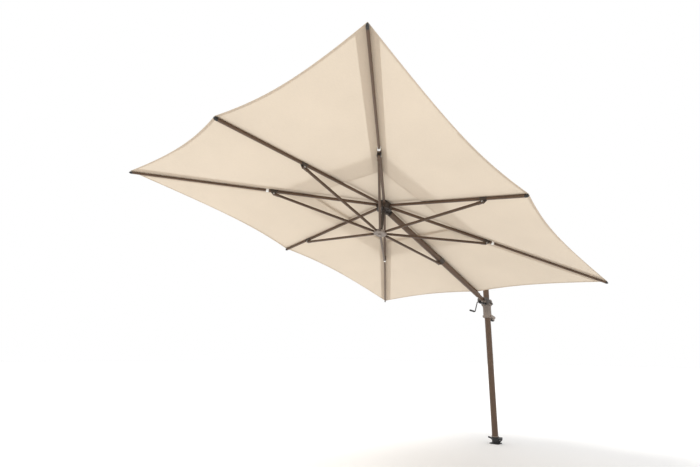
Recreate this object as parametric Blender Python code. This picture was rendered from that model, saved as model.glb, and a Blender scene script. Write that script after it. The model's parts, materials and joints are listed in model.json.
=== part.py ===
"""Cantilever parasol with a side mast, a cranked arm and an eight-spoke rectangular canopy.

Metres, +Z up. The origin is the middle of the base flange's underside, on the mast's axis, and the
arm runs out along +X. Every moving group hangs on an empty that stands on its joint's axis.
"""

import math

import bmesh
import bpy
from mathutils import Matrix, Vector
from mathutils.geometry import convex_hull_2d

GAP = 0.0003  # between pieces that touch
RUN = 0.0004  # between a pin and its hole

# Canopy, in the hub's own frame: plan half sizes, and how far each kind of rib tip lies below the hub
HALF_LONG = 2.0
HALF_WIDE = 1.529
MID_DROP = 0.264
SIDE_DROP = 0.267
CORNER_DROP = 0.289
HUB_REACH = 2.117  # from the mast's axis to the canopy's
HUB_HEIGHT = 2.547
PITCH = 0.232  # the canopy's rest tilt, front edge up
KNUCKLE_HEIGHT = 1.712  # where the arm hinges on the slider

# Rib and strut linkage
PIN_RADIUS = 0.004
PIVOT_REACH = 0.060  # from the canopy's axis to each rib's hinge pin
PIN_BELOW_RIB = 0.030
PIN_BELOW_ARM_LINE = 0.046  # hub pin under the line from hub to arm-side tip
ARM_STRUT_BELOW = 0.078  # arm strut's pin under that same line
STRUT_SHARE = {"front": 0.553, "side": 0.740, "corner": 0.450, "arm": 0.553}

# Sections: width, height, wall
MID_RIB = (0.022, 0.027, 0.0016)
CORNER_RIB = (0.024, 0.028, 0.0016)
CORNER_OUTER = (0.018, 0.022, 0.0014)
STRUT = (0.022, 0.024, 0.0014)
TELESCOPE = 0.40  # how far a corner rib's outer tube slides in
TIP_LENGTH = 0.034  # of each rib's end cap, beyond its tube

# Arm and mast
ARM_R = 0.032
ARM_INNER_R = 0.025
ARM_WALL = 0.003
ARM_OUTER_START = 0.232
ARM_LAP = 0.36  # how far the inner tube reaches into the outer one
MAST_R = 0.03725
MAST_WALL = 0.0022
MAST_TOP = 2.45
SLIDER_R = 0.054
SLIDER_LOW = -0.194
SLIDER_HIGH = 0.040

# Fabric
CLOTH = 0.0015
CLOTH_OVER_RIB = 0.0165
CLOTH_OVER_ARM_LINE = 0.0100
VENT_SHARE = 0.31
CAP_INNER_SHARE = 0.030
CAP_OUTER_SHARE = 0.44
CAP_LIFT = 0.026
SCALLOP = 0.048  # inward curve of an edge, as a share of the edge's length
SAG = 0.022

COLOURS = {
    "brown_paint": ((0.115, 0.078, 0.056), 0.45, 0.55),
    "slider_paint": ((0.145, 0.115, 0.094), 0.50, 0.50),
    "dark_casting": ((0.055, 0.045, 0.040), 0.50, 0.60),
    "runner_grey": ((0.170, 0.145, 0.130), 0.50, 0.20),
    "black_plastic": ((0.015, 0.015, 0.016), 0.45, 0.0),
    "white_nylon": ((0.800, 0.800, 0.780), 0.40, 0.0),
    "rubber": ((0.030, 0.030, 0.032), 0.75, 0.0),
    "bright_steel": ((0.520, 0.520, 0.530), 0.30, 1.0),
    "canopy_cloth": ((0.640, 0.530, 0.390), 0.85, 0.0),
}


# ---------------------------------------------------------------- helpers


def material(name):
    """The Principled material of that name, made on first use."""
    found = bpy.data.materials.get(name)
    if found:
        return found
    colour, roughness, metallic = COLOURS[name]
    made = bpy.data.materials.new(name)
    made.use_nodes = True
    shader = made.node_tree.nodes["Principled BSDF"]
    shader.inputs["Base Color"].default_value = (*colour, 1.0)
    shader.inputs["Roughness"].default_value = roughness
    shader.inputs["Metallic"].default_value = metallic
    made.diffuse_color = (*colour, 1.0)
    return made


WORLD = {}  # each empty's placement in world coordinates, by name


def frame(name, parent, matrix):
    """An empty that stands at matrix, given in world coordinates."""
    empty = bpy.data.objects.new(name, None)
    bpy.context.collection.objects.link(empty)
    empty.empty_display_size = 0.05
    if parent:
        empty.parent = parent
    WORLD[name] = matrix
    local = WORLD[parent.name].inverted() @ matrix if parent else matrix
    empty.matrix_local = local
    return empty


def axes(origin, x_axis, y_axis):
    """A placement from an origin and two unit directions."""
    z_axis = x_axis.cross(y_axis)
    rows = Matrix((x_axis, y_axis, z_axis)).transposed().to_4x4()
    return Matrix.Translation(origin) @ rows


def finish(name, bm, colour, parent):
    """Turn bm, whose coordinates are in parent's frame, into the object called name."""
    bmesh.ops.recalc_face_normals(bm, faces=bm.faces)
    mesh = bpy.data.meshes.new(name)
    bm.to_mesh(mesh)
    bm.free()
    mesh.shade_smooth()
    mesh.set_sharp_from_angle(angle=math.radians(35))
    mesh.materials.append(material(colour))
    made = bpy.data.objects.new(name, mesh)
    bpy.context.collection.objects.link(made)
    made.parent = parent
    return made


def cut(target, tool, operation="DIFFERENCE"):
    """Apply tool to target with a Boolean that stays on it, and hide the tool."""
    tool.hide_render = True
    tool.display_type = "WIRE"
    step = target.modifiers.new(tool.name, "BOOLEAN")
    step.operation = operation
    step.object = tool
    step.solver = "EXACT"


def shape(name, parts, colour, parent, holes=()):
    """One body called name: the first of parts with the others welded on and the holes cut out."""
    made = finish(name, parts[0], colour, parent)
    for word, tools, operation in (("join", parts[1:], "UNION"), ("cut", holes, "DIFFERENCE")):
        for number, bm in enumerate(tools):
            cut(made, finish(f"{word}_{name}_{number}", bm, colour, parent), operation)
    return made


def circle(centre, radius, count=10):
    """Points round a circle, anticlockwise."""
    turns = [2 * math.pi * (i + 0.5) / count for i in range(count)]
    return [
        (centre[0] + radius * math.cos(a), centre[1] + radius * math.sin(a)) for a in turns
    ]


def hull(*circles, count=10):
    """The outline that goes tightly round circles, each (x, y, radius)."""
    points = [p for x, y, r in circles for p in circle((x, y), r, count)]
    return [points[i] for i in convex_hull_2d(points)]


def rounded_box(width, height, radius, steps=2, centre=(0.0, 0.0)):
    """A rectangle with round corners, anticlockwise, with steps + 1 points on each corner."""
    points = []
    for quarter, (sx, sy) in enumerate(((1, 1), (-1, 1), (-1, -1), (1, -1))):
        for i in range(steps + 1):
            a = math.pi / 2 * (quarter + i / steps)
            x = sx * (width / 2 - radius) + radius * math.cos(a)
            y = sy * (height / 2 - radius) + radius * math.sin(a)
            points.append((centre[0] + x, centre[1] + y))
    return points


def prism(bm, outline, low, high, plane="XZ", holes=()):
    """Extrude an outline, with round holes given as (x, y, radius), from low to high.

    The outline lies in plane, and the extrusion runs along the third axis.
    """

    def put(u, v, w):
        return {"XY": (u, v, w), "XZ": (u, w, v), "YZ": (w, u, v)}[plane]

    edges = []
    for loop in [outline, *[circle(h[:2], h[2], 10 if h[2] < 0.0055 else 20) for h in holes]]:
        ring = [bm.verts.new(put(u, v, low)) for u, v in loop]
        edges += [bm.edges.new((a, b)) for a, b in zip(ring, ring[1:] + ring[:1])]
    filled = bmesh.ops.triangle_fill(bm, use_beauty=True, use_dissolve=False, edges=edges)
    faces = [f for f in filled["geom"] if isinstance(f, bmesh.types.BMFace)]
    raised = bmesh.ops.extrude_face_region(bm, geom=faces)["geom"]
    shift = Vector(put(0.0, 0.0, high - low))
    for vert in (v for v in raised if isinstance(v, bmesh.types.BMVert)):
        vert.co += shift


def turned(bm, profile, count=20, at=None):
    """Revolve a profile of (radius, height) points about Z.

    A profile that starts and ends on the axis makes a full solid, and any other makes a ring.
    """
    at = at or Matrix()
    rings = []
    for radius, height in profile:
        if radius < 1e-9:
            rings.append([bm.verts.new(at @ Vector((0, 0, height)))])
            continue
        rings.append(
            [bm.verts.new(at @ Vector((x, y, height))) for x, y in circle((0, 0), radius, count)]
        )
    closed = len(rings[0]) > 1
    pairs = zip(rings, rings[1:] + rings[:1]) if closed else zip(rings, rings[1:])
    for a, b in pairs:
        for i in range(count):
            j = (i + 1) % count
            corners = [a[i % len(a)], a[j % len(a)], b[j % len(b)], b[i % len(b)]]
            bm.faces.new(list(dict.fromkeys(corners)))


def drum(bm, radius, low, high, at=None, count=10):
    """A plain solid cylinder about Z."""
    turned(bm, [(0, low), (radius, low), (radius, high), (0, high)], count, at)


def sleeve(bm, inner, outer, low, high, at=None, count=24):
    """A plain ring about Z."""
    turned(bm, [(inner, low), (outer, low), (outer, high), (inner, high)], count, at)


def along_x(x=0.0, y=0.0, z=0.0):
    """The placement that lays Z along +X, at a point."""
    return Matrix.Translation((x, y, z)) @ Matrix.Rotation(math.pi / 2, 4, "Y")


def along_y(x=0.0, y=0.0, z=0.0):
    """The placement that lays Z along -Y, at a point."""
    return Matrix.Translation((x, y, z)) @ Matrix.Rotation(math.pi / 2, 4, "X")


def loft(bm, sections):
    """Skin rounded boxes along X. A section is (x, width, height, radius, centre z)."""
    rings = [
        [
            bm.verts.new((x, y, z))
            for y, z in rounded_box(width, height, radius, centre=(0.0, middle))
        ]
        for x, width, height, radius, middle in sections
    ]
    bm.faces.new(rings[0])
    bm.faces.new(rings[-1])
    for a, b in zip(rings, rings[1:]):
        for i, vert in enumerate(a):
            j = (i + 1) % len(a)
            bm.faces.new((vert, a[j], b[j], b[i]))


def box_tube(bm, section, start, end, middle=0.0):
    """A hollow tube along X with a rounded rectangular section."""
    width, height, wall = section
    outer = rounded_box(width, height, 0.006, centre=(0.0, middle))
    inner = rounded_box(width - 2 * wall, height - 2 * wall, 0.006 - wall, centre=(0.0, middle))
    rings = [
        [bm.verts.new((x, y, z)) for y, z in loop]
        for x, loop in ((start, inner), (start, outer), (end, outer), (end, inner))
    ]
    for a, b in zip(rings, rings[1:] + rings[:1]):
        for i, vert in enumerate(a):
            j = (i + 1) % len(a)
            bm.faces.new((vert, a[j], b[j], b[i]))


def new(builder, *arguments, **options):
    """A bmesh that holds what one of the builders above makes."""
    bm = bmesh.new()
    builder(bm, *arguments, **options)
    return bm


def rounded_path(corners, radius, steps=5):
    """A polyline through corners, with each inner corner rounded off by an arc."""
    points = [corners[0]]
    for before, corner, after in zip(corners, corners[1:], corners[2:]):
        into, out = (corner - before).normalized(), (after - corner).normalized()
        half = into.angle(out) / 2
        reach = radius * math.tan(half)
        centre = corner + (out - into).normalized() * radius / math.cos(half)
        start, end = corner - into * reach, corner + out * reach
        for i in range(steps + 1):
            ray = (start - centre).normalized().slerp((end - centre).normalized(), i / steps)
            points.append(centre + ray * radius)
    points.append(corners[-1])
    return points


def rod(name, points, radius, colour, parent):
    """A round bar along a polyline."""
    curve = bpy.data.curves.new(name, "CURVE")
    curve.dimensions = "3D"
    curve.bevel_depth = radius
    curve.bevel_resolution = 3
    curve.use_fill_caps = True
    spline = curve.splines.new("POLY")
    spline.points.add(len(points) - 1)
    for point, place in zip(spline.points, points):
        point.co = (*place, 1.0)
    curve.materials.append(material(colour))
    made = bpy.data.objects.new(name, curve)
    bpy.context.collection.objects.link(made)
    made.parent = parent
    return made


# ---------------------------------------------------------------- where everything stands

UP = Vector((0, 0, 1))
FORWARD = Vector((math.cos(PITCH), 0, math.sin(PITCH)))
SIDE = Vector((0, 1, 0))
HUB_AT = axes(Vector((HUB_REACH, 0, HUB_HEIGHT)), FORWARD, SIDE)

CORNER_TURN = math.atan2(HALF_WIDE, HALF_LONG)
CORNER_REACH = math.hypot(HALF_WIDE, HALF_LONG)
RIBS = {
    "front": (0.0, HALF_LONG, MID_DROP, "front"),
    "right": (math.pi / 2, HALF_WIDE, SIDE_DROP, "side"),
    "left": (-math.pi / 2, HALF_WIDE, SIDE_DROP, "side"),
    "front_right": (CORNER_TURN, CORNER_REACH, CORNER_DROP, "corner"),
    "front_left": (-CORNER_TURN, CORNER_REACH, CORNER_DROP, "corner"),
    "rear_right": (math.pi - CORNER_TURN, CORNER_REACH, CORNER_DROP, "corner"),
    "rear_left": (CORNER_TURN - math.pi, CORNER_REACH, CORNER_DROP, "corner"),
}
ARM_RIB = (math.pi, HALF_LONG, MID_DROP, "arm")


def spoke(rib, along, below):
    """In the hub's frame: the point of a rib's line at a plan distance along, and below under it."""
    turn, reach, drop, _ = rib
    slope = math.atan2(drop, reach)
    out = along - below * math.sin(slope)
    return Vector(
        (
            out * math.cos(turn),
            out * math.sin(turn),
            -along * math.tan(slope) - below * math.cos(slope),
        )
    )


def hub_pin(rib):
    return spoke(rib, PIVOT_REACH, PIN_BELOW_ARM_LINE if rib[3] == "arm" else PIN_BELOW_RIB)


def strut_pin(rib):
    below = ARM_STRUT_BELOW if rib[3] == "arm" else PIN_BELOW_RIB
    return spoke(rib, STRUT_SHARE[rib[3]] * rib[1], below)


# The runner hangs where the front rib and strut make two sides of an isosceles triangle
FRONT_PIN, FRONT_JOINT = hub_pin(RIBS["front"]), strut_pin(RIBS["front"])
RUNNER_DEPTH = 2 * FRONT_JOINT.z - FRONT_PIN.z
RUNNER_REACH = FRONT_PIN.x

ARM_SLOPE = PITCH + math.atan2(MID_DROP, HALF_LONG)
ARM_ALONG = Vector((math.cos(ARM_SLOPE), 0, math.sin(ARM_SLOPE)))
ARM_AT = axes(Vector((0, 0, KNUCKLE_HEIGHT)), ARM_ALONG, SIDE)


def in_arm(point):
    """A point of the hub's frame, in the arm's frame."""
    return ARM_AT.inverted() @ (HUB_AT @ point)


def clear_scene():
    for old in list(bpy.data.objects):
        bpy.data.objects.remove(old, do_unlink=True)


# ---------------------------------------------------------------- base and mast

FLANGE_SIDE = 0.118
FLANGE_THICK = 0.008
BOLT_PITCH = 0.094
BOLT_HOLE_R = 0.006
NECK_R = 0.040
NECK_TOP = 0.076
SOCKET_R = 0.030
SOCKET_FLOOR = 0.012
PEDAL_TURN = math.radians(104)  # which way the pedal's hinge lies from the mast
PEDAL_PIN_REACH = 0.066
PEDAL_PIN_HEIGHT = 0.050


def base(world):
    """The flange with its neck and the lug that the foot pedal hinges on."""
    half = BOLT_PITCH / 2
    bolt_holes = [(x, y, BOLT_HOLE_R) for x in (-half, half) for y in (-half, half)]
    plate = new(
        prism, rounded_box(FLANGE_SIDE, FLANGE_SIDE, 0.014), 0.0, FLANGE_THICK, "XY", bolt_holes
    )
    flange = finish("base_flange", plate, "black_plastic", world)
    neck = [
        (0, FLANGE_THICK / 2),
        (NECK_R + 0.006, FLANGE_THICK / 2),
        (NECK_R + 0.006, FLANGE_THICK + 0.002),
        (NECK_R + 0.001, FLANGE_THICK + 0.007),
        (NECK_R, NECK_TOP),
        (SOCKET_R, NECK_TOP),
        (SOCKET_R, SOCKET_FLOOR),
        (0, SOCKET_FLOOR),
    ]
    cut(flange, finish("join_neck", new(turned, neck, 24), "black_plastic", world), "UNION")

    hinge = Matrix.Rotation(PEDAL_TURN, 4, "Z") @ Matrix.Translation(
        (PEDAL_PIN_REACH, 0, PEDAL_PIN_HEIGHT)
    )
    pedal_frame = frame("axis_pedal", world, hinge)
    outline = hull((0, 0, 0.016), (-0.022, 0.005, 0.009), (-0.022, -0.036, 0.008))
    lug = new(prism, outline, -0.018, 0.018)
    cut(flange, finish("join_pedal_lug", lug, "black_plastic", pedal_frame), "UNION")
    hole = new(drum, PIN_RADIUS + RUN, -0.03, 0.03, along_y())
    cut(flange, finish("cut_pedal_lug", hole, "black_plastic", pedal_frame))

    bush = new(sleeve, 0.0265, SOCKET_R - GAP, SOCKET_FLOOR + GAP, NECK_TOP, count=24)
    finish("swivel_bush", bush, "white_nylon", world)
    pin = new(drum, PIN_RADIUS, -0.052, 0.052, along_y(), 8)
    finish("pedal_pin", pin, "bright_steel", pedal_frame)
    return pedal_frame


def pedal(pedal_frame):
    """A yoke round the neck, hinged behind it, with a tongue for the foot in front."""
    inner, outer, reach = 0.0445, 0.0500, PEDAL_PIN_REACH
    bow = [math.radians(a) for a in range(90, 271, 20)]
    outside = [(-reach + outer * math.cos(a), outer * math.sin(a)) for a in bow]
    inside = [(-reach + inner * math.cos(a), inner * math.sin(a)) for a in reversed(bow)]
    outline = [(0.010, outer), *outside, (0.010, -outer), (0.010, -inner), *inside, (0.010, inner)]
    yoke = new(prism, outline, -0.004, 0.018, "XY")
    near, far = -reach - inner - 0.004, -reach - 0.082
    outline = [(near, 0.002), (near, 0.016), (far, 0.026), (far - 0.004, 0.020), (far, 0.014)]
    tongue = new(prism, outline, -0.019, 0.019)
    hole = new(drum, PIN_RADIUS + RUN, -0.07, 0.07, along_y())
    shape("foot_pedal", [yoke, tongue], "black_plastic", pedal_frame, [hole])


def mast(mast_frame):
    ring_low, ring_high = NECK_TOP + 0.0008, NECK_TOP + 0.010
    plug = MAST_R - MAST_WALL - GAP
    foot = [
        (0, SOCKET_FLOOR + 0.001),
        (0.026, SOCKET_FLOOR + 0.001),
        (0.026, ring_low),
        (0.044, ring_low),
        (0.046, ring_low + 0.002),
        (0.046, ring_high - 0.002),
        (0.044, ring_high),
        (plug, ring_high),
        (plug, ring_high + 0.06),
        (0, ring_high + 0.06),
    ]
    finish("mast_foot", new(turned, foot, 24), "slider_paint", mast_frame)
    tube = new(sleeve, MAST_R - MAST_WALL, MAST_R, ring_high + GAP, MAST_TOP, count=24)
    finish("mast_tube", tube, "brown_paint", mast_frame)
    top = MAST_TOP + GAP
    cap = [
        (0, top - 0.03),
        (plug, top - 0.03),
        (plug, top),
        (MAST_R + 0.0008, top),
        (MAST_R + 0.0008, top + 0.006),
        (MAST_R - 0.006, top + 0.015),
        (0, top + 0.019),
    ]
    finish("mast_cap", new(turned, cap, 24), "black_plastic", mast_frame)


# ---------------------------------------------------------------- slider, lever and crank

TRUNNION_R = 0.008
BOSS_R = 0.043
CHEEK_IN = SLIDER_R + 0.0052
CHEEK_OUT = CHEEK_IN + 0.008
LEVER_PIN = Vector((0.0, 0.0, -0.172))
LEVER_PIN_R = 0.006
LEVER_IN = SLIDER_R + 0.0006
LEVER_OUT = LEVER_IN + 0.006
CRANK_PIN = Vector((0.088, 0.0, -0.044))
CRANK_TILT = math.radians(18)
CRANK_ROD_R = 0.0065
CRANK_REACH = 0.135
CRANK_CORNER = 0.090
HANDLE_LOW, HANDLE_HIGH = 0.106, 0.180


def slider(slider_frame):
    """The housing round the mast, with the arm's and the lever's trunnions, and its liner."""
    bore = MAST_R + 0.0008
    liner_r = bore + 0.0045
    barrel = [
        (liner_r, SLIDER_LOW),
        (SLIDER_R - 0.004, SLIDER_LOW),
        (SLIDER_R - 0.001, SLIDER_LOW + 0.006),
        (SLIDER_R - 0.003, -0.080),
        (SLIDER_R, -0.045),
        (SLIDER_R, SLIDER_HIGH - 0.014),
        (SLIDER_R - 0.008, SLIDER_HIGH),
        (liner_r, SLIDER_HIGH),
    ]
    parts = [new(turned, barrel, 24)]
    for side in (1, -1):
        for radius, start, end, height, count in (
            (BOSS_R, 0.020, CHEEK_IN - 0.0006, 0.0, 24),
            (TRUNNION_R, 0.050, CHEEK_OUT + 0.003, 0.0, 12),
            (LEVER_PIN_R, 0.048, LEVER_OUT + 0.0015, LEVER_PIN.z, 10),
        ):
            low, high = sorted((side * start, side * end))
            parts.append(new(drum, radius, low, high, along_y(0, 0, height), count))
    hole = new(drum, liner_r, SLIDER_LOW - 0.01, BOSS_R + 0.01, None, 24)
    shape("slider_housing", parts, "slider_paint", slider_frame, [hole])

    liner = new(
        sleeve, bore, liner_r - GAP, SLIDER_LOW + 0.002, SLIDER_HIGH - 0.002, count=24
    )
    finish("slider_liner", liner, "white_nylon", slider_frame)


def lever(lever_frame):
    """A yoke on the slider's sides that closes behind it into a handle with a soft pad."""
    eye = [(0, 0, LEVER_PIN_R + RUN)]
    cheek = hull((0, 0, 0.017), (-0.078, -0.016, 0.014))
    bar = hull((-0.077, -0.016, 0.014), (-0.086, -0.018, 0.014))
    root, end = Vector((-0.084, -0.018)), Vector((-0.150, -0.040))
    handle = hull((*root, 0.015), (*end, 0.013))
    parts = [
        new(prism, cheek, LEVER_IN, LEVER_OUT, holes=eye),
        new(prism, cheek, -LEVER_OUT, -LEVER_IN, holes=eye),
        new(prism, bar, -LEVER_OUT, LEVER_OUT),
        new(prism, handle, -0.0165, 0.0165),
    ]
    shape("slider_lever", parts, "slider_paint", lever_frame)
    along = (end - root).normalized()
    down = Vector((-along.y, along.x))
    first, last = root + down * 0.0155, end + down * 0.0135
    pad = [first.lerp(last, 0.10), last, first.lerp(last, 0.96) + down * 0.010]
    pad.append(first.lerp(last, 0.20) + down * 0.010)
    finish("lever_pad", new(prism, pad, -0.0160, 0.0160), "rubber", lever_frame)


def crank(crank_frame, handle_frame):
    """The crank's frame has Z out along the shaft and X down along the crank's web."""
    rim, core, bore, half = 0.019, 0.013, CRANK_ROD_R + RUN, 0.044
    spool = [
        (bore, -half),
        (rim, -half),
        (rim, -half + 0.003),
        (core, -half + 0.003),
        (core, half - 0.003),
        (rim, half - 0.003),
        (rim, half),
        (bore, half),
    ]
    finish("winch_drum", new(turned, spool), "black_plastic", crank_frame)
    corners = [
        Vector((0, 0, -0.070)),
        Vector((0, 0, CRANK_CORNER)),
        Vector((CRANK_REACH, 0, CRANK_CORNER + 0.006)),
        Vector((CRANK_REACH, 0, HANDLE_HIGH + 0.002)),
    ]
    rod("crank_rod", rounded_path(corners, 0.010), CRANK_ROD_R, "dark_casting", crank_frame)
    grip = [
        (bore, HANDLE_LOW),
        (0.0100, HANDLE_LOW),
        (0.0118, HANDLE_LOW + 0.012),
        (0.0112, (HANDLE_LOW + HANDLE_HIGH) / 2),
        (0.0124, HANDLE_HIGH - 0.012),
        (0.0105, HANDLE_HIGH),
        (bore, HANDLE_HIGH),
    ]
    finish("crank_handle", new(turned, grip, 16), "black_plastic", handle_frame)


# ---------------------------------------------------------------- arm


def arm(arm_frame, crank_at):
    """The fork on the slider's trunnions, and the thin tube that the canopy's arm turns on."""
    bores = [(0, 0, TRUNNION_R + RUN)]
    strap = hull((-0.036, -0.002, 0.010), (0, 0, 0.016), (0.104, 0.002, 0.017))
    parts = [
        new(prism, strap, CHEEK_IN, CHEEK_OUT, holes=bores),
        new(prism, strap, -CHEEK_OUT, -CHEEK_IN, holes=bores),
        new(prism, rounded_box(2 * CHEEK_OUT - 0.002, 0.040, 0.004), 0.112, 0.125, "YZ"),
        new(drum, ARM_INNER_R - ARM_WALL - GAP, 0.120, 0.175, along_x(), 24),
    ]
    for side in (1, -1):
        low, high = sorted((side * CHEEK_IN, side * CHEEK_OUT))
        height = CRANK_PIN.z - (low + high) / 2 * math.tan(CRANK_TILT)
        ear = hull((0.104, 0.002, 0.015), (0.066, 0.0, 0.012), (CRANK_PIN.x, height, 0.014))
        parts.append(new(prism, ear, low, high))
    shaft_hole = new(drum, CRANK_ROD_R + RUN, -0.09, 0.09, ARM_AT.inverted() @ crank_at, 12)
    shape("arm_fork", parts, "dark_casting", arm_frame, [shaft_hole])
    end = ARM_OUTER_START + ARM_LAP
    tube = new(sleeve, ARM_INNER_R - ARM_WALL, ARM_INNER_R, 0.125 + GAP, end, along_x(), 24)
    finish("arm_inner_tube", tube, "brown_paint", arm_frame)


def canopy_arm(roll_frame):
    """The thick tube under the canopy, with its hub end and its strut saddle."""
    pin, joint = in_arm(hub_pin(ARM_RIB)), in_arm(strut_pin(ARM_RIB))
    bore, tube_end = ARM_R - ARM_WALL, pin.x - 0.048
    tube = new(sleeve, bore, ARM_R, ARM_OUTER_START, tube_end, along_x(), 24)
    finish("arm_outer_tube", tube, "brown_paint", roll_frame)
    low, high = ARM_OUTER_START + 0.001, ARM_OUTER_START + ARM_LAP - 0.005
    bush = new(sleeve, ARM_INNER_R + RUN, bore - GAP, low, high, along_x(), 24)
    finish("roll_bush", bush, "white_nylon", roll_frame)

    shoulder = tube_end + 0.012
    outline = hull((pin.x, pin.z, 0.024), (shoulder, 0.004, 0.018), (shoulder, -0.008, 0.016))
    parts = [
        new(drum, bore - GAP, tube_end - 0.07, tube_end + 0.008, along_x(), 24),
        new(prism, outline, -0.012, 0.012, holes=[(pin.x, pin.z, 0.005 + RUN)]),
    ]
    shape("arm_head", parts, "dark_casting", roll_frame)

    outline = hull(
        (joint.x, joint.z, 0.013), (joint.x - 0.03, -0.0335, 0.003), (joint.x + 0.03, -0.0335, 0.003)
    )
    eye = [(joint.x, joint.z, PIN_RADIUS + RUN)]
    parts = [
        new(sleeve, ARM_R + GAP, ARM_R + 0.0042, joint.x - 0.040, joint.x + 0.040, along_x(), 24),
        new(prism, outline, 0.0142, 0.0202, holes=eye),
        new(prism, outline, -0.0202, -0.0142, holes=eye),
    ]
    shape("arm_strut_saddle", parts, "dark_casting", roll_frame)


# ---------------------------------------------------------------- hub and runner

HUB_R = 0.078
HUB_LOW, HUB_HIGH, HUB_CROWN = -0.058, 0.018, 0.050
RUNNER_R = 0.066
RUNNER_LOW, RUNNER_HIGH = -0.020, 0.012
SLOT_HALF = 0.006
SPACER_R = 0.020


def slots(bm, spokes, low, high, reach):
    """Radial box cutters. spokes lists (turn, inner radius, half width)."""
    for turn, inner, half in spokes:
        spin = Matrix.Rotation(turn, 4, "Z")
        corners = [spin @ Vector((x, y, 0)) for x, y in
                   ((inner, -half), (reach, -half), (reach, half), (inner, half))]
        prism(bm, [(c.x, c.y) for c in corners], low, high, "XY")


def hub(hub_frame):
    """A slotted casting with the ribs' and the arm's pins across its slots, and the cap on top."""
    core = [
        (0, HUB_LOW),
        (HUB_R - 0.004, HUB_LOW),
        (HUB_R, HUB_LOW + 0.004),
        (HUB_R, HUB_HIGH - 0.006),
        (HUB_R - 0.008, HUB_HIGH),
        (0.022, HUB_HIGH),
        (0.022, HUB_CROWN),
        (0, HUB_CROWN),
    ]
    body = finish("hub", new(turned, core, 24), "dark_casting", hub_frame)
    spokes = [(rib[0], 0.042, SLOT_HALF) for rib in RIBS.values()]
    spokes.append((math.pi, 0.028, 0.0130))
    gaps = new(slots, spokes, HUB_LOW - 0.01, HUB_HIGH - 0.006, HUB_R + 0.01)
    cut(body, finish("cut_hub_slots", gaps, "dark_casting", hub_frame))
    pins = bmesh.new()
    for rib in [*RIBS.values(), ARM_RIB]:
        radius, half = (0.005, 0.0165) if rib[3] == "arm" else (PIN_RADIUS, 0.0085)
        pin = hub_pin(rib)
        at = Matrix.Rotation(rib[0], 4, "Z") @ along_y(math.hypot(pin.x, pin.y), 0, pin.z)
        drum(pins, radius, -half, half, at, 8)
    cut(body, finish("join_hub_pins", pins, "bright_steel", hub_frame), "UNION")

    top = HUB_CROWN + GAP
    cap = [(0, top), (0.080, top), (0.084, top + 0.004), (0.066, top + 0.012)]
    cap += [(0.030, top + 0.020), (0, top + 0.022)]
    finish("hub_cap", new(turned, cap, 24), "black_plastic", hub_frame)


def runner(runner_frame):
    """The frame stands on the front strut's pin, so the canopy's axis is at -RUNNER_REACH."""
    shift = Matrix.Translation((-RUNNER_REACH, 0, 0))
    disc = [
        (0, -0.034),
        (0.012, -0.033),
        (0.017, -0.027),
        (0.018, RUNNER_LOW),
        (RUNNER_R - 0.006, RUNNER_LOW),
        (RUNNER_R, RUNNER_LOW + 0.006),
        (RUNNER_R, RUNNER_HIGH - 0.003),
        (RUNNER_R - 0.003, RUNNER_HIGH),
        (0, RUNNER_HIGH),
    ]
    deep = {"front": 0.040, "corner": 0.040, "side": 0.0215, "arm": 0.0260}
    spokes = [(rib[0], deep[rib[3]], SLOT_HALF) for rib in [*RIBS.values(), ARM_RIB]]
    gaps = new(slots, spokes, -0.0125, RUNNER_HIGH + 0.01, RUNNER_R + 0.01)
    bmesh.ops.transform(gaps, matrix=shift, verts=gaps.verts)
    hole = new(drum, PIN_RADIUS + RUN, -0.012, 0.012, along_y())
    shape("runner", [new(turned, disc, 24, shift)], "runner_grey", runner_frame, [gaps, hole])
    top = HUB_LOW - RUNNER_DEPTH - 0.0006
    tube = new(sleeve, SPACER_R - 0.002, SPACER_R, RUNNER_HIGH + GAP, top, shift, 24)
    finish("runner_spacer", tube, "dark_casting", runner_frame)


# ---------------------------------------------------------------- ribs and struts


def rib_frames(name, rib, hub_frame):
    """The rib's frame at its hub pin and the strut's at its joint, both with Y along the pin."""
    pin, joint = hub_pin(rib), strut_pin(rib)
    slope = math.atan2(rib[2], rib[1])
    outward = Vector((math.cos(rib[0]), math.sin(rib[0]), 0))
    along = (outward * math.cos(slope) - UP * math.sin(slope)).normalized()
    across = UP.cross(outward)
    rib_at = HUB_AT @ axes(pin, along, across)
    foot = outward * RUNNER_REACH + UP * RUNNER_DEPTH
    inward = (foot - joint).normalized()
    strut_at = HUB_AT @ axes(joint, inward, across)
    length = (foot - joint).length
    rib_frame = frame("axis_rib_" + name, hub_frame, rib_at) if rib[3] != "arm" else None
    return rib_frame, strut_at, length, (joint - pin).length


def rib_end(rib):
    """The rib's length from its hub pin to its tip."""
    return (rib[1] - PIVOT_REACH) / math.cos(math.atan2(rib[2], rib[1]))


def root_plate():
    """The tongue welded into a rib's inner end: it hangs below the tube to reach the hub pin."""
    z = PIN_BELOW_RIB
    half = (MID_RIB[1] - MID_RIB[2]) / 2
    arc = [math.radians(a) for a in range(140, 321, 36)]
    outline = [(0.011 * math.cos(a), 0.011 * math.sin(a)) for a in arc]
    outline += [(0.0285, 0.008), (0.0285, z - half), (0.10, z - half), (0.10, z + half)]
    outline += [(0.014, z + half)]
    return new(prism, outline, -0.0045, 0.0045, holes=[(0, 0, PIN_RADIUS + RUN)])


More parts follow.
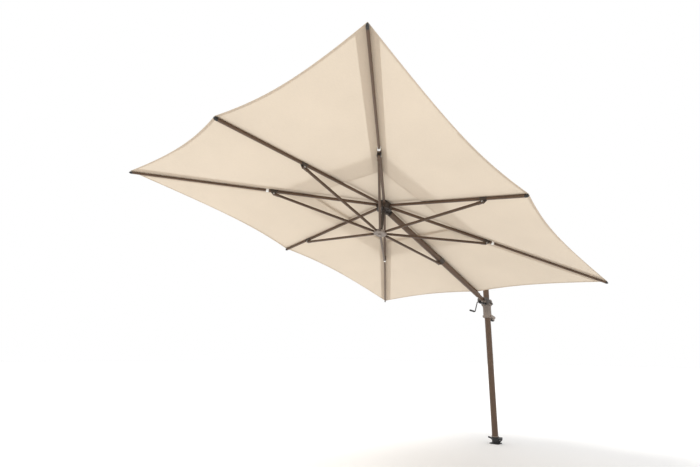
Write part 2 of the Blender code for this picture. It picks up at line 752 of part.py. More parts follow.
def bracket(name, parent, joint_x, width, thick=0.003):
    """Two plates on a rib's sides, joined by a strap under it, that carry the strut's pin."""
    z = PIN_BELOW_RIB + 0.004
    outline = hull((joint_x, 0, 0.012), (joint_x - 0.030, z, 0.007), (joint_x + 0.030, z, 0.007))
    inner = width / 2 + GAP
    eye = [(joint_x, 0, PIN_RADIUS + RUN)]
    under = PIN_BELOW_RIB - CORNER_RIB[1] / 2 - GAP
    ends = (joint_x + 0.014, joint_x + 0.030)
    strap = [(ends[0], under), (ends[1], under), (ends[1], under - 0.003), (ends[0], under - 0.003)]
    parts = [
        new(prism, outline, inner, inner + thick, holes=eye),
        new(prism, outline, -inner - thick, -inner, holes=eye),
        new(prism, strap, -inner - thick / 2, inner + thick / 2),
    ]
    shape(name, parts, "dark_casting", parent)


def tip(name, end, size, parent):
    """A pointed plastic end cap, with a plug inside the tube."""
    width, height, wall = size
    z = PIN_BELOW_RIB
    inner = (width - 2 * wall - 2 * GAP, height - 2 * wall - 2 * GAP)
    mouth = end - TIP_LENGTH + GAP
    sections = [
        (mouth - 0.030, *inner, 0.004, z),
        (mouth, *inner, 0.004, z),
        (mouth, width + 0.0010, height + 0.0010, 0.006, z),
        (end - 0.014, width, height, 0.006, z),
        (end - 0.004, width * 0.66, height * 0.60, 0.005, z),
        (end, width * 0.36, height * 0.32, 0.003, z),
    ]
    finish(name, new(loft, sections), "black_plastic", parent)


def mid_rib(name, rib, parent, joint_x):
    tube = new(box_tube, MID_RIB, 0.030, rib_end(rib) - TIP_LENGTH, PIN_BELOW_RIB)
    shape(f"rib_{name}", [tube, root_plate()], "brown_paint", parent)
    bracket(f"rib_{name}_bracket", parent, joint_x, MID_RIB[0])
    tip(f"rib_{name}_tip", rib_end(rib), MID_RIB, parent)


def corner_rib(name, rib, parent, joint_x):
    """A thick inner tube on the hub, and a thinner one that slides into it."""
    mouth = joint_x + 0.055
    tube = new(box_tube, CORNER_RIB, 0.030, mouth, PIN_BELOW_RIB)
    shape(f"rib_{name}", [tube, root_plate()], "brown_paint", parent)
    bracket(f"rib_{name}_bracket", parent, joint_x, CORNER_RIB[0])
    slide = frame(f"axis_slide_{name}", parent, WORLD[parent.name].copy())
    inside = mouth - TELESCOPE - 0.02
    outer = new(box_tube, CORNER_OUTER, inside, rib_end(rib) - TIP_LENGTH, PIN_BELOW_RIB)
    finish(f"rib_{name}_outer", outer, "brown_paint", slide)
    tip(f"rib_{name}_tip", rib_end(rib), CORNER_OUTER, slide)


def strut(name, kind, parent, length):
    """Pinned to its rib at its own origin, and to the runner at its far end."""
    block = {"corner": CORNER_RIB[0], "arm": 0.0284}.get(kind, MID_RIB[0]) / 2 - GAP
    pin_half = block + 2 * GAP + (0.0082 if kind == "arm" else 0.0052)
    half = STRUT[1] / 2
    near = circle((0, 0), 0.011, 12)
    near = [p for p in near if p[0] < 0.004] + [(0.012, half), (0.052, half), (0.056, half - 0.004)]
    near += [(0.056, 0.004 - half), (0.052, -half), (0.012, -half)]
    near = [near[i] for i in convex_hull_2d(near)]
    inside = (STRUT[1] - STRUT[2]) / 2
    eye = 0.009
    arc = [math.radians(a) for a in range(-80, 81, 40)]
    far = [(length + eye * math.cos(a), eye * math.sin(a)) for a in arc]
    far += [(length - 0.049, inside), (length - 0.095, inside)]
    far += [(length - 0.095, -inside), (length - 0.049, -inside)]
    end_half = 0.011 if kind == "front" else 0.0042
    parts = [
        new(box_tube, STRUT, 0.030, length - 0.050),
        new(prism, near, -block, block),
        new(drum, PIN_RADIUS, -pin_half, pin_half, along_y(), 8),
        new(prism, far, -0.004, 0.004),
        new(drum, PIN_RADIUS, -end_half, end_half, along_y(length, 0, 0), 8),
    ]
    shape(f"strut_{name}", parts, "brown_paint", parent)


# ---------------------------------------------------------------- fabric

AROUND = [
    ("front", RIBS["front"]),
    ("front_right", RIBS["front_right"]),
    ("right", RIBS["right"]),
    ("rear_right", RIBS["rear_right"]),
    ("arm", ARM_RIB),
    ("rear_left", RIBS["rear_left"]),
    ("left", RIBS["left"]),
    ("front_left", RIBS["front_left"]),
]
ACROSS_STEPS = 4


def cloth_point(index, across, share, lift, scallop):
    """A point of the fabric in the hub's frame, between spoke number index and the next one."""
    first, second = AROUND[index][1], AROUND[(index + 1) % len(AROUND)][1]
    ends = []
    for rib in (first, second):
        over = CLOTH_OVER_ARM_LINE if rib[3] == "arm" else CLOTH_OVER_RIB
        ends.append((spoke(rib, rib[1], 0.0), over))
    chord = ends[0][0].lerp(ends[1][0], across)
    bow = 4 * across * (1 - across)
    edge = (ends[1][0] - ends[0][0]).length
    pull = scallop * edge * bow * share**3 / chord.length
    place = chord * (share * (1 - pull))
    over = ends[0][1] + (ends[1][1] - ends[0][1]) * across
    place.z += over + lift - SAG * bow * math.sin(math.pi * min(share, 1.0)) * share
    return place


def shell(bm, inner, outer, steps, lift, scallop):
    """A closed thin ring of fabric between two shares of the spokes' length."""
    count = len(AROUND) * ACROSS_STEPS
    layers = []
    for thick in (0.0, CLOTH):
        rows = []
        for step in range(steps + 1):
            share = inner + (outer - inner) * step / steps
            rows.append([
                bm.verts.new(cloth_point(i // ACROSS_STEPS, i % ACROSS_STEPS / ACROSS_STEPS,
                                         share, lift + thick, scallop))
                for i in range(count)
            ])
        layers.append(rows)
    low, high = layers
    for rows in layers:
        for a, b in zip(rows, rows[1:]):
            for i in range(count):
                j = (i + 1) % count
                bm.faces.new((a[i], a[j], b[j], b[i]))
    for end in (0, -1):
        for i in range(count):
            j = (i + 1) % count
            bm.faces.new((low[end][i], low[end][j], high[end][j], high[end][i]))


def fabric(hub_frame):
    cover = new(shell, VENT_SHARE, 0.998, 5, 0.0, SCALLOP)
    finish("canopy", cover, "canopy_cloth", hub_frame)
    cap = new(shell, CAP_INNER_SHARE, CAP_OUTER_SHARE, 3, CAP_LIFT, 0.0)
    finish("vent_cap", cap, "canopy_cloth", hub_frame)


# ---------------------------------------------------------------- the whole parasol


def crank_placement():
    """Z out along the shaft, to the left and a little up, and X as near to straight down."""
    shaft = ARM_AT.to_3x3() @ Vector((0, -math.cos(CRANK_TILT), math.sin(CRANK_TILT)))
    down = (-UP - shaft * shaft.dot(-UP)).normalized()
    return axes(ARM_AT @ CRANK_PIN, down, shaft.cross(down))


def build():
    clear_scene()
    world = frame("axis_base", None, Matrix())
    pedal(base(world))
    mast_frame = frame("axis_swivel", world, Matrix())
    mast(mast_frame)
    knuckle = Matrix.Translation((0, 0, KNUCKLE_HEIGHT))
    slider_frame = frame("axis_slider", mast_frame, knuckle)
    slider(slider_frame)
    lever(frame("axis_lever", slider_frame, knuckle @ Matrix.Translation(LEVER_PIN)))

    arm_frame = frame("axis_tilt", slider_frame, ARM_AT)
    crank_at = crank_placement()
    arm(arm_frame, crank_at)
    crank_frame = frame("axis_crank", arm_frame, crank_at)
    handle_at = crank_at @ Matrix.Translation((CRANK_REACH, 0, 0))
    crank(crank_frame, frame("axis_handle", crank_frame, handle_at))

    roll_frame = frame("axis_roll", arm_frame, ARM_AT)
    canopy_arm(roll_frame)
    hub_frame = frame("axis_hub", roll_frame, HUB_AT)
    hub(hub_frame)
    fabric(hub_frame)
    front_strut = None
    for name, rib in [*RIBS.items(), ("arm", ARM_RIB)]:
        rib_frame, strut_at, length, joint_x = rib_frames(name, rib, hub_frame)
        if rib[3] == "corner":
            corner_rib(name, rib, rib_frame, joint_x)
        elif rib_frame:
            mid_rib(name, rib, rib_frame, joint_x)
        strut_frame = frame("axis_strut_" + name, rib_frame or roll_frame, strut_at)
        strut(name, rib[3], strut_frame, length)
        if name == "front":
            front_strut = strut_frame
    foot = HUB_AT @ axes(Vector((RUNNER_REACH, 0, RUNNER_DEPTH)), Vector((1, 0, 0)), SIDE)
    runner(frame("axis_runner", front_strut, foot))


build()
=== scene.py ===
"""The visual model of the cantilever parasol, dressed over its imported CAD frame."""

import json
import math

import bmesh
import bpy
from mathutils import Matrix, Vector


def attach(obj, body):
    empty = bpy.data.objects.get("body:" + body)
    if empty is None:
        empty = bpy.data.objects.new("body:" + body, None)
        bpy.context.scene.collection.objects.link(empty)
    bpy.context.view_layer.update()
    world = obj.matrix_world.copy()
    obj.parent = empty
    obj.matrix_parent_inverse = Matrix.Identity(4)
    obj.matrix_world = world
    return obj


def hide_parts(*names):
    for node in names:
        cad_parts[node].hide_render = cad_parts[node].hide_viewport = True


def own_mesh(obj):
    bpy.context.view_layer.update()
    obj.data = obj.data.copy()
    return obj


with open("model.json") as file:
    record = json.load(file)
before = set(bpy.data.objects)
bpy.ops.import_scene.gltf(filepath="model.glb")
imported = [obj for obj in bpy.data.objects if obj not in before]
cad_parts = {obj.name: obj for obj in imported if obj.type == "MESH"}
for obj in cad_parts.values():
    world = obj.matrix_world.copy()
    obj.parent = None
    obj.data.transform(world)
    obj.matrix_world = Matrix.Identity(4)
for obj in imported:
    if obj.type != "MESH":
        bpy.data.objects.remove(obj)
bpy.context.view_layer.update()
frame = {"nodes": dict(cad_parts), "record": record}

# ---------------------------------------------------------------- the CAD's measures, in metres

HALF_LONG, HALF_WIDE = 2.0, 1.529
MID_DROP, SIDE_DROP, CORNER_DROP = 0.264, 0.267, 0.289
HUB_REACH, HUB_HEIGHT, PITCH = 2.117, 2.547, 0.232
PIVOT_REACH, PIN_BELOW_RIB = 0.060, 0.030
STRUT_SHARE = {"front": 0.553, "side": 0.740, "corner": 0.450}
CLOTH_OVER_RIB, CLOTH_OVER_ARM_LINE = 0.0165, 0.0100
VENT_SHARE, EDGE_SHARE = 0.31, 0.998
CAP_INNER_SHARE, CAP_OUTER_SHARE, CAP_LIFT = 0.030, 0.44, 0.026
SCALLOP, SAG = 0.048, 0.022
CLOTH_HALF = 0.00075  # the fabric lies in the middle of the CAD's thin solid
MID_RIB_WIDTH, CORNER_RIB_WIDTH = 0.022, 0.024
BRACKET_TO_RIVET = 0.0054  # from a rib's side, over its bracket and strut, to the rivet's seat
MOUTH_PAST_JOINT = 0.055  # a corner rib's inner tube ends this far past its strut's pin

# ---------------------------------------------------------------- measures of the sewn details

HEM_WIDTH, VENT_HEM_WIDTH = 0.024, 0.014
HEM_UNDER, STRIP_UNDER = 0.0012, 0.0010  # second layers lie this far below the panel
CORNER_STRIP_HALF, MID_STRIP_HALF, CAP_STRIP_HALF = 0.095, 0.018, 0.012
COVER_ANCHOR, CAP_ANCHOR = 0.6, 0.25  # share of the reach given to each panel as its anchor

# ---------------------------------------------------------------- measures of the hardware

FERRULE_INNER, FERRULE_OUTER = (0.0184, 0.0224), (0.0256, 0.0296)
FERRULE_START, FERRULE_END = 0.0004, 0.026
RIVET_PROFILE = [(0, 0), (0.0075, 0), (0.0075, 0.0008), (0.006, 0.0026), (0.003, 0.0034), (0, 0.0036)]
RIVET_SEGMENTS = 24
SHARP_ANGLE = math.radians(35)

# ---------------------------------------------------------------- the camera

CAMERA_AT = Vector((5.6594, 2.8753, 1.0676))
CAMERA_YAW, CAMERA_PITCH, CAMERA_ROLL = 3.9014, 0.2530, 0.0106
CAMERA_LENS = 23.573  # mm, on a 36 mm wide sensor

UP, SIDE = Vector((0, 0, 1)), Vector((0, 1, 0))


def axes(origin, x_axis, y_axis):
    """A placement from an origin and two unit directions."""
    rows = Matrix((x_axis, y_axis, x_axis.cross(y_axis))).transposed().to_4x4()
    return Matrix.Translation(origin) @ rows


HUB_AT = axes(
    Vector((HUB_REACH, 0, HUB_HEIGHT)), Vector((math.cos(PITCH), 0, math.sin(PITCH))), SIDE
)
CORNER_TURN = math.atan2(HALF_WIDE, HALF_LONG)
CORNER_REACH = math.hypot(HALF_WIDE, HALF_LONG)
# Name, turn, reach, drop and kind of each rib line
SPOKES = [
    ("front", 0.0, HALF_LONG, MID_DROP, "front"),
    ("front_right", CORNER_TURN, CORNER_REACH, CORNER_DROP, "corner"),
    ("right", math.pi / 2, HALF_WIDE, SIDE_DROP, "side"),
    ("rear_right", math.pi - CORNER_TURN, CORNER_REACH, CORNER_DROP, "corner"),
    ("arm", math.pi, HALF_LONG, MID_DROP, "arm"),
    ("rear_left", CORNER_TURN - math.pi, CORNER_REACH, CORNER_DROP, "corner"),
    ("left", -math.pi / 2, HALF_WIDE, SIDE_DROP, "side"),
    ("front_left", -CORNER_TURN, CORNER_REACH, CORNER_DROP, "corner"),
]


# ---------------------------------------------------------------- materials


def tree_of(name):
    """An empty node material with its output node."""
    made = bpy.data.materials.new(name)
    made.use_nodes = True
    tree = made.node_tree
    tree.nodes.clear()
    out = tree.nodes.new("ShaderNodeOutputMaterial")
    return made, tree, out


def node(tree, kind, inputs=None, **settings):
    """A shader node, with its input values or links given by name or number."""
    made = tree.nodes.new(kind)
    for key, value in settings.items():
        setattr(made, key, value)
    for key, value in (inputs or {}).items():
        if isinstance(value, bpy.types.NodeSocket):
            tree.links.new(value, made.inputs[key])
        else:
            made.inputs[key].default_value = value
    return made


def ramp(tree, source, stops):
    """A colour ramp over source. stops lists (place, colour)."""
    made = node(tree, "ShaderNodeValToRGB", {"Fac": source})
    points = made.color_ramp.elements
    while len(points) < len(stops):
        points.new(0.5)
    for point, (place, colour) in zip(points, stops):
        point.position = place
        point.color = (*colour, 1.0)
    return made.outputs["Color"]


def shade(colour, factor):
    """A colour made lighter or darker."""
    return tuple(min(1.0, c * factor) for c in colour)


def coated(name, colour, roughness, metallic, grain, depth, wear=0.0, spread=0.12):
    """A painted, cast or moulded surface: mottled colour, orange-peel or grain bump, worn edges."""
    made, tree, out = tree_of(name)
    place = node(tree, "ShaderNodeTexCoord").outputs["Object"]
    broad = node(tree, "ShaderNodeTexNoise", {"Vector": place, "Scale": 9.0, "Detail": 4.0})
    fine = node(tree, "ShaderNodeTexNoise", {"Vector": place, "Scale": grain, "Detail": 3.0})
    base = ramp(
        tree,
        broad.outputs["Fac"],
        [(0.30, shade(colour, 1 - spread)), (0.70, shade(colour, 1 + spread))],
    )
    if wear:
        edges = node(tree, "ShaderNodeNewGeometry").outputs["Pointiness"]
        mask = node(
            tree, "ShaderNodeMapRange",
            {"Value": edges, "From Min": 0.53, "From Max": 0.62, "To Max": wear},
        )
        mixer = tree.nodes.new("ShaderNodeMix")
        mixer.data_type = "RGBA"
        tree.links.new(mask.outputs["Result"], mixer.inputs[0])
        tree.links.new(base, mixer.inputs[6])
        mixer.inputs[7].default_value = (*shade(colour, 2.2), 1.0)
        base = mixer.outputs[2]
    rough = node(
        tree, "ShaderNodeMapRange",
        {"Value": fine.outputs["Fac"], "From Min": 0.3, "From Max": 0.7,
         "To Min": roughness - 0.06, "To Max": roughness + 0.08},
    )
    bump = node(
        tree, "ShaderNodeBump",
        {"Height": fine.outputs["Fac"], "Strength": 0.35, "Distance": depth},
    )
    shader = node(
        tree, "ShaderNodeBsdfPrincipled",
        {"Base Color": base, "Roughness": rough.outputs["Result"], "Metallic": metallic,
         "Normal": bump.outputs["Normal"]},
    )
    tree.links.new(shader.outputs[0], out.inputs["Surface"])
    return made


def woven(name, colour, through):
    """Beige polyester canopy fabric: a fine weave, faint slub and a share of light let through."""
    made, tree, out = tree_of(name)
    place = node(tree, "ShaderNodeTexCoord").outputs["Object"]
    warp = node(
        tree, "ShaderNodeTexWave",
        {"Vector": place, "Scale": 210.0, "Distortion": 0.6, "Detail": 1.0},
        bands_direction="X",
    )
    weft = node(
        tree, "ShaderNodeTexWave",
        {"Vector": place, "Scale": 210.0, "Distortion": 0.6, "Detail": 1.0},
        bands_direction="Y",
    )
    weave = node(
        tree, "ShaderNodeMath", {0: warp.outputs["Fac"], 1: weft.outputs["Fac"]},
        operation="MULTIPLY",
    )
    stretched = node(tree, "ShaderNodeMapping", {"Vector": place, "Scale": (3.0, 60.0, 60.0)})
    slub = node(
        tree, "ShaderNodeTexNoise", {"Vector": stretched.outputs[0], "Scale": 6.0, "Detail": 3.0}
    )
    broad = node(tree, "ShaderNodeTexNoise", {"Vector": place, "Scale": 1.6, "Detail": 3.0})
    mixed = node(
        tree, "ShaderNodeMath",
        {0: slub.outputs["Fac"], 1: broad.outputs["Fac"]}, operation="ADD",
    )
    halved = node(tree, "ShaderNodeMath", {0: mixed.outputs[0], 1: 0.5}, operation="MULTIPLY")
    base = ramp(
        tree, halved.outputs[0], [(0.36, shade(colour, 0.955)), (0.64, shade(colour, 1.035))]
    )
    bump = node(
        tree, "ShaderNodeBump",
        {"Height": weave.outputs[0], "Strength": 0.10, "Distance": 0.0004},
    )
    front = node(
        tree, "ShaderNodeBsdfPrincipled",
        {"Base Color": base, "Roughness": 0.88, "Normal": bump.outputs["Normal"],
         "Sheen Weight": 0.15, "Sheen Roughness": 0.5, "Specular IOR Level": 0.2},
    )
    back = node(
        tree, "ShaderNodeBsdfTranslucent", {"Color": base, "Normal": bump.outputs["Normal"]}
    )
    both = node(
        tree, "ShaderNodeMixShader", {0: through, 1: front.outputs[0], 2: back.outputs[0]}
    )
    tree.links.new(both.outputs[0], out.inputs["Surface"])
    return made


LOOKS = {
    "brown_paint": coated("brown_powder_coat", (0.075, 0.045, 0.028), 0.42, 0.25, 900, 0.00008, 0.35),
    # The slider's coat is lighter than the frame's brown. This is partly its own taupe and partly a
    # painted highlight standing in for the strong light on its right side.
    "slider_paint": coated("taupe_coat_with_painted_highlight", (0.210, 0.172, 0.145), 0.45, 0.25, 900, 0.00008, 0.3),
    "dark_casting": coated("dark_casting_coat", (0.045, 0.036, 0.030), 0.50, 0.35, 500, 0.0002, 0.4),
    "runner_grey": coated("grey_casting_coat", (0.230, 0.195, 0.170), 0.48, 0.25, 500, 0.0002, 0.3),
    "black_plastic": coated("black_moulded", (0.016, 0.016, 0.017), 0.48, 0.0, 650, 0.00015),
    "white_nylon": coated("white_nylon_moulded", (0.80, 0.80, 0.78), 0.38, 0.0, 400, 0.0001,
                          spread=0.03),
    "rubber": coated("black_rubber", (0.028, 0.028, 0.030), 0.78, 0.0, 350, 0.0003),
    "bright_steel": coated("zinc_plated", (0.52, 0.52, 0.53), 0.30, 1.0, 700, 0.00005,
                           spread=0.06),
}
CLOTH_LOOK = woven("canopy_weave", (0.690, 0.595, 0.480), 0.20)
# The trim is darker than the cover. This is partly the hems' and strips' own second layer, and partly
# painted shade standing in for the shadow bands along the vent cap's edge and beside the corner ribs.
TRIM_WITH_PAINTED_SHADE_LOOK = woven("canopy_trim_weave_painted_shade", (0.660, 0.565, 0.455), 0.30)

for part in frame["record"]["subparts"]:
    if part["material_slot"] in LOOKS:
        for entry in frame["nodes"][part["node"]].material_slots:
            entry.material = LOOKS[part["material_slot"]]


# ---------------------------------------------------------------- helpers for added pieces


def piece(name, bm, look, body):
    """A hard part that rides on a body, with smooth faces and sharp corners."""
    bmesh.ops.recalc_face_normals(bm, faces=bm.faces)
    mesh = bpy.data.meshes.new(name)
    bm.to_mesh(mesh)
    bm.free()
    mesh.shade_smooth()
    mesh.set_sharp_from_angle(angle=SHARP_ANGLE)
    mesh.materials.append(look)
    made = bpy.data.objects.new(name, mesh)
    bpy.context.collection.objects.link(made)
    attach(made, body)
    return made


def turned(bm, profile, at, count):
    """Revolve a profile of (radius, height) points about Z, from the axis back to the axis."""
    rings = []
    for radius, height in profile:
        if radius < 1e-9:
            rings.append([bm.verts.new(at @ Vector((0, 0, height)))])
            continue
        turns = [2 * math.pi * i / count for i in range(count)]
        rings.append([
            bm.verts.new(at @ Vector((radius * math.cos(a), radius * math.sin(a), height)))
            for a in turns
        ])
    for a, b in zip(rings, rings[1:]):
        for i in range(count):
            j = (i + 1) % count
            corners = [a[i % len(a)], a[j % len(a)], b[j % len(b)], b[i % len(b)]]
            bm.faces.new(list(dict.fromkeys(corners)))


def rounded_box(width, height, radius, steps=4):
    """The outline of a rectangle with round corners, as (y, z) points."""
    points = []
    for quarter, (sx, sy) in enumerate(((1, 1), (-1, 1), (-1, -1), (1, -1))):
        for i in range(steps + 1):
            a = math.pi / 2 * (quarter + i / steps)
            points.append((sx * (width / 2 - radius) + radius * math.cos(a),
                           sy * (height / 2 - radius) + radius * math.sin(a)))
    return points


def box_ring(bm, at, inner, outer, low, high, middle):
    """A sleeve along X with rounded rectangular sections. inner and outer are (width, height)."""
    bevel = 0.002
    full = (outer[0] + bevel, outer[1] + bevel)
    loops = []
    for x, (width, height), radius in (
        (low, inner, 0.005), (low, outer, 0.0065), (low + bevel, full, 0.0075),
        (high - bevel, full, 0.0075), (high, outer, 0.0065), (high, inner, 0.005),
    ):
        loops.append([bm.verts.new(at @ Vector((x, y, z + middle)))
                      for y, z in rounded_box(width, height, radius)])
    for a, b in zip(loops, loops[1:] + loops[:1]):
        for i, vert in enumerate(a):
            j = (i + 1) % len(a)
            bm.faces.new((vert, a[j], b[j], b[i]))


# ---------------------------------------------------------------- where the spokes run


def spoke_point(turn, reach, drop, along, below):
    """In the hub's frame: a point of a spoke's line at a plan distance, and below under it."""
    slope = math.atan2(drop, reach)
    out = along - below * math.sin(slope)
    return Vector((out * math.cos(turn), out * math.sin(turn),
                   -along * math.tan(slope) - below * math.cos(slope)))


def rib_placement(spoke):
    """A rib's placement, X along it from its pivot pin, and the distance to its strut's pin."""
    _, turn, reach, drop, kind = spoke
    slope = math.atan2(drop, reach)
    outward = Vector((math.cos(turn), math.sin(turn), 0))
    pin = spoke_point(turn, reach, drop, PIVOT_REACH, PIN_BELOW_RIB)
    joint = spoke_point(turn, reach, drop, STRUT_SHARE[kind] * reach, PIN_BELOW_RIB)
    along = (outward * math.cos(slope) - UP * math.sin(slope)).normalized()
    return HUB_AT @ axes(pin, along, UP.cross(outward)), (joint - pin).length


def cloth_at(number, u, share, lift, scallop):
    """World place of the fabric beside spoke number: u runs from -0.5 to 0.5 across its panel."""
    first = (number - 1) % 8 if u < 0 else number
    across = 1 + u if u < 0 else u
    ends = []
    for _, turn, reach, drop, kind in (SPOKES[first], SPOKES[(first + 1) % 8]):
        over = CLOTH_OVER_ARM_LINE if kind == "arm" else CLOTH_OVER_RIB
        ends.append((spoke_point(turn, reach, drop, reach, 0.0), over))
    chord = ends[0][0].lerp(ends[1][0], across)
    bow = 4 * across * (1 - across)
    edge = (ends[1][0] - ends[0][0]).length
    pull = scallop * edge * bow * share**3 / chord.length
    place = chord * (share * (1 - pull))
    over = ends[0][1] + (ends[1][1] - ends[0][1]) * across
    place.z += over + lift - SAG * bow * math.sin(math.pi * min(share, 1.0)) * share
    return HUB_AT @ place


def edge_length(number, u):
    """The canopy's straight edge length on that side of spoke number."""
    first = (number - 1) % 8 if u < 0 else number
    ends = [spoke_point(s[1], s[2], s[3], s[2], 0.0) for s in (SPOKES[first], SPOKES[(first + 1) % 8])]
    return (ends[1] - ends[0]).length


def grid(bm, number, columns, rows, lift, scallop, sharp=False):
    """A patch of fabric: columns gives the u values for a share, and rows lists the shares."""
    verts = [[bm.verts.new(cloth_at(number, u, share, lift, scallop)) for u in columns(share)]
             for share in rows]
    for a, b in zip(verts, verts[1:]):
        for i in range(len(a) - 1):
            bm.faces.new((a[i], a[i + 1], b[i + 1], b[i]))
    if sharp:
        middle = len(verts[0]) // 2
        for a, b in zip(verts, verts[1:]):
            bm.edges.get((a[middle], b[middle])).smooth = False


def spread(low, high, count):
    """count + 1 even values from low to high."""
    return [low + (high - low) * i / count for i in range(count + 1)]


def even(count):
    """Columns over the whole panel, count on each side of its spoke."""
    values = spread(-0.5, 0.5, 2 * count)
    return lambda share: values


def strip(number, half, count):
    """Columns of a strip that runs half metres out on both sides of the spoke."""
    def columns(share):
        values = []
        for metres in spread(-half, half, count):
            values.append(metres / (edge_length(number, metres) * max(share, 0.05)))
        return [max(-0.5, min(0.5, v)) for v in values]
    return columns


# ---------------------------------------------------------------- canopy and vent cap


def fabric_piece(name, bm, look, body, number, anchor_share):
    """A sheet of fabric beside spoke number, which rides on a body."""
    for face in bm.faces:
        face.normal_update()
        if face.normal.dot(UP) < 0:
            face.normal_flip()
    mesh = bpy.data.meshes.new(name)
    bm.to_mesh(mesh)
    bm.free()
    mesh.shade_smooth()
    mesh.materials.append(look)
    made = bpy.data.objects.new(name, mesh)
    bpy.context.collection.objects.link(made)
    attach(made, body)
    tuple(cloth_at(number, 0.0, anchor_share, 0.0, 0.0))
    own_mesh(made)
    return made


def canopy():
    """Eight cover panels and eight vent panels, each with its hems and reinforcement strip."""
    cover_lift, cap_lift = CLOTH_HALF, CAP_LIFT + CLOTH_HALF
    for number, (name, _, reach, drop, kind) in enumerate(SPOKES):
        body = {"corner": f"rib_{name}_outer", "arm": "canopy_arm"}.get(kind, f"rib_{name}")
        bm = bmesh.new()
        outer_rows = spread(VENT_SHARE, EDGE_SHARE, 30)
        grid(bm, number, even(14), outer_rows, cover_lift, SCALLOP, sharp=True)
        area = sum(f.calc_area() for f in bm.faces)
        cover = fabric_piece(f"cover_{name}", bm, CLOTH_LOOK, body, number, COVER_ANCHOR)

        trim = bmesh.new()
        hem = HEM_WIDTH / reach
        edge_hem = spread(EDGE_SHARE - hem, EDGE_SHARE, 2)
        grid(trim, number, even(14), edge_hem, cover_lift - HEM_UNDER, SCALLOP)
        vent_hem = spread(VENT_SHARE, VENT_SHARE + VENT_HEM_WIDTH / reach, 1)
        grid(trim, number, even(8), vent_hem, cover_lift - HEM_UNDER, SCALLOP)
        half = CORNER_STRIP_HALF if kind == "corner" else MID_STRIP_HALF
        rows = spread(VENT_SHARE, EDGE_SHARE - hem, 24)
        grid(trim, number, strip(number, half, 6), rows, cover_lift - STRIP_UNDER, SCALLOP)
        trimmed = fabric_piece(f"trim_{name}", trim, TRIM_WITH_PAINTED_SHADE_LOOK, body, number, COVER_ANCHOR)

        if number == 0:
            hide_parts("canopy")

        body = "canopy_arm" if kind == "arm" else f"rib_{name}"
        bm = bmesh.new()
        rows = spread(CAP_INNER_SHARE, CAP_OUTER_SHARE, 16)
        grid(bm, number, even(10), rows, cap_lift, 0.0, sharp=True)
        area = sum(f.calc_area() for f in bm.faces)
        cap = fabric_piece(f"vent_{name}", bm, CLOTH_LOOK, body, number, CAP_ANCHOR)

        trim = bmesh.new()
        rows = spread(CAP_OUTER_SHARE - hem, CAP_OUTER_SHARE, 1)
        grid(trim, number, even(10), rows, cap_lift - HEM_UNDER, 0.0)
        rows = spread(CAP_INNER_SHARE, CAP_OUTER_SHARE - hem, 12)
        grid(trim, number, strip(number, CAP_STRIP_HALF, 2), rows, cap_lift - STRIP_UNDER, 0.0)
        trimmed = fabric_piece(f"vent_trim_{name}", trim, TRIM_WITH_PAINTED_SHADE_LOOK, body, number, CAP_ANCHOR)

        if number == 0:
            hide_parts("vent_cap")


# ---------------------------------------------------------------- small hardware


def along_y(x, y, z, face):
    """Z along +Y for face 1 and along -Y for face -1, at a point."""
    return Matrix.Translation((x, y, z)) @ Matrix.Rotation(-face * math.pi / 2, 4, "X")


def hardware():
    """A white ferrule at each corner rib's mouth, and two rivets at each strut's outer end."""
    for spoke in SPOKES:
        name, kind = spoke[0], spoke[4]
        if kind == "arm":
            continue
        at, joint_x = rib_placement(spoke)
        if kind == "corner":
            bm = bmesh.new()
            mouth = joint_x + MOUTH_PAST_JOINT
            box_ring(bm, at, FERRULE_INNER, FERRULE_OUTER,
                     mouth + FERRULE_START, mouth + FERRULE_END, PIN_BELOW_RIB)
            piece(f"ferrule_{name}", bm, LOOKS["white_nylon"], f"rib_{name}")
        width = CORNER_RIB_WIDTH if kind == "corner" else MID_RIB_WIDTH
        for face, word in ((1, "a"), (-1, "b")):
            bm = bmesh.new()
            seat = at @ along_y(joint_x, face * (width / 2 + BRACKET_TO_RIVET), 0.0, face)
            turned(bm, RIVET_PROFILE, seat, RIVET_SEGMENTS)
            piece(f"rivet_{name}_{word}", bm, LOOKS["bright_steel"], f"strut_{name}")


canopy()
hardware()


# ---------------------------------------------------------------- floor, light and camera


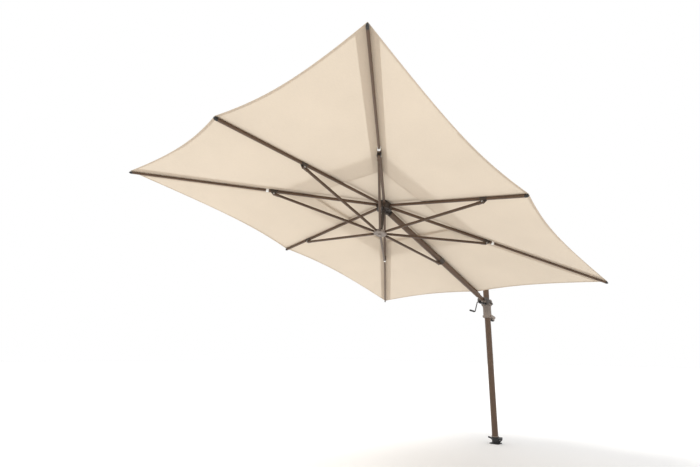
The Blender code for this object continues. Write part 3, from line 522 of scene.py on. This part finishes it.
def stage():
    """A pale floor, an even white surround and one soft warm key light."""
    bm = bmesh.new()
    bmesh.ops.create_grid(bm, x_segments=1, y_segments=1, size=40)
    mesh = bpy.data.meshes.new("floor")
    bm.to_mesh(mesh)
    bm.free()
    floor = bpy.data.objects.new("floor", mesh)
    bpy.context.collection.objects.link(floor)
    floor.location = (0, 0, -0.0005)
    look = bpy.data.materials.new("pale_floor")
    look.use_nodes = True
    paint = look.node_tree.nodes["Principled BSDF"].inputs
    paint["Base Color"].default_value = (0.93, 0.93, 0.93, 1)
    paint["Roughness"].default_value = 0.9
    paint["Specular IOR Level"].default_value = 0.1
    mesh.materials.append(look)

    world = bpy.data.worlds.new("studio")
    world.use_nodes = True
    light = world.node_tree.nodes["Background"].inputs
    light["Color"].default_value = (1, 1, 1, 1)
    light["Strength"].default_value = 1.0
    bpy.context.scene.world = world

    sun = bpy.data.lights.new("key", "SUN")
    sun.energy = 1.4
    sun.angle = math.radians(25)
    sun.color = (1.0, 0.96, 0.90)
    lamp = bpy.data.objects.new("key", sun)
    bpy.context.collection.objects.link(lamp)
    lamp.rotation_euler = Vector((0.75, -0.45, 1.15)).to_track_quat("Z", "Y").to_euler()


def camera():
    """The camera, placed by its heading, its tilt above the horizon and its roll."""
    level, roll = math.cos(CAMERA_PITCH), CAMERA_ROLL
    ahead = Vector(
        (level * math.cos(CAMERA_YAW), level * math.sin(CAMERA_YAW), math.sin(CAMERA_PITCH))
    )
    right = ahead.cross(UP).normalized()
    above = right.cross(ahead)
    x_axis = math.cos(roll) * right + math.sin(roll) * above
    y_axis = -math.sin(roll) * right + math.cos(roll) * above
    data = bpy.data.cameras.new("camera")
    data.sensor_width = 36.0
    data.lens = CAMERA_LENS
    data.clip_end = 200
    made = bpy.data.objects.new("camera", data)
    bpy.context.collection.objects.link(made)
    made.matrix_world = axes(CAMERA_AT, x_axis, y_axis)
    bpy.context.scene.camera = made


stage()
camera()
bpy.context.scene.view_settings.view_transform = "Standard"
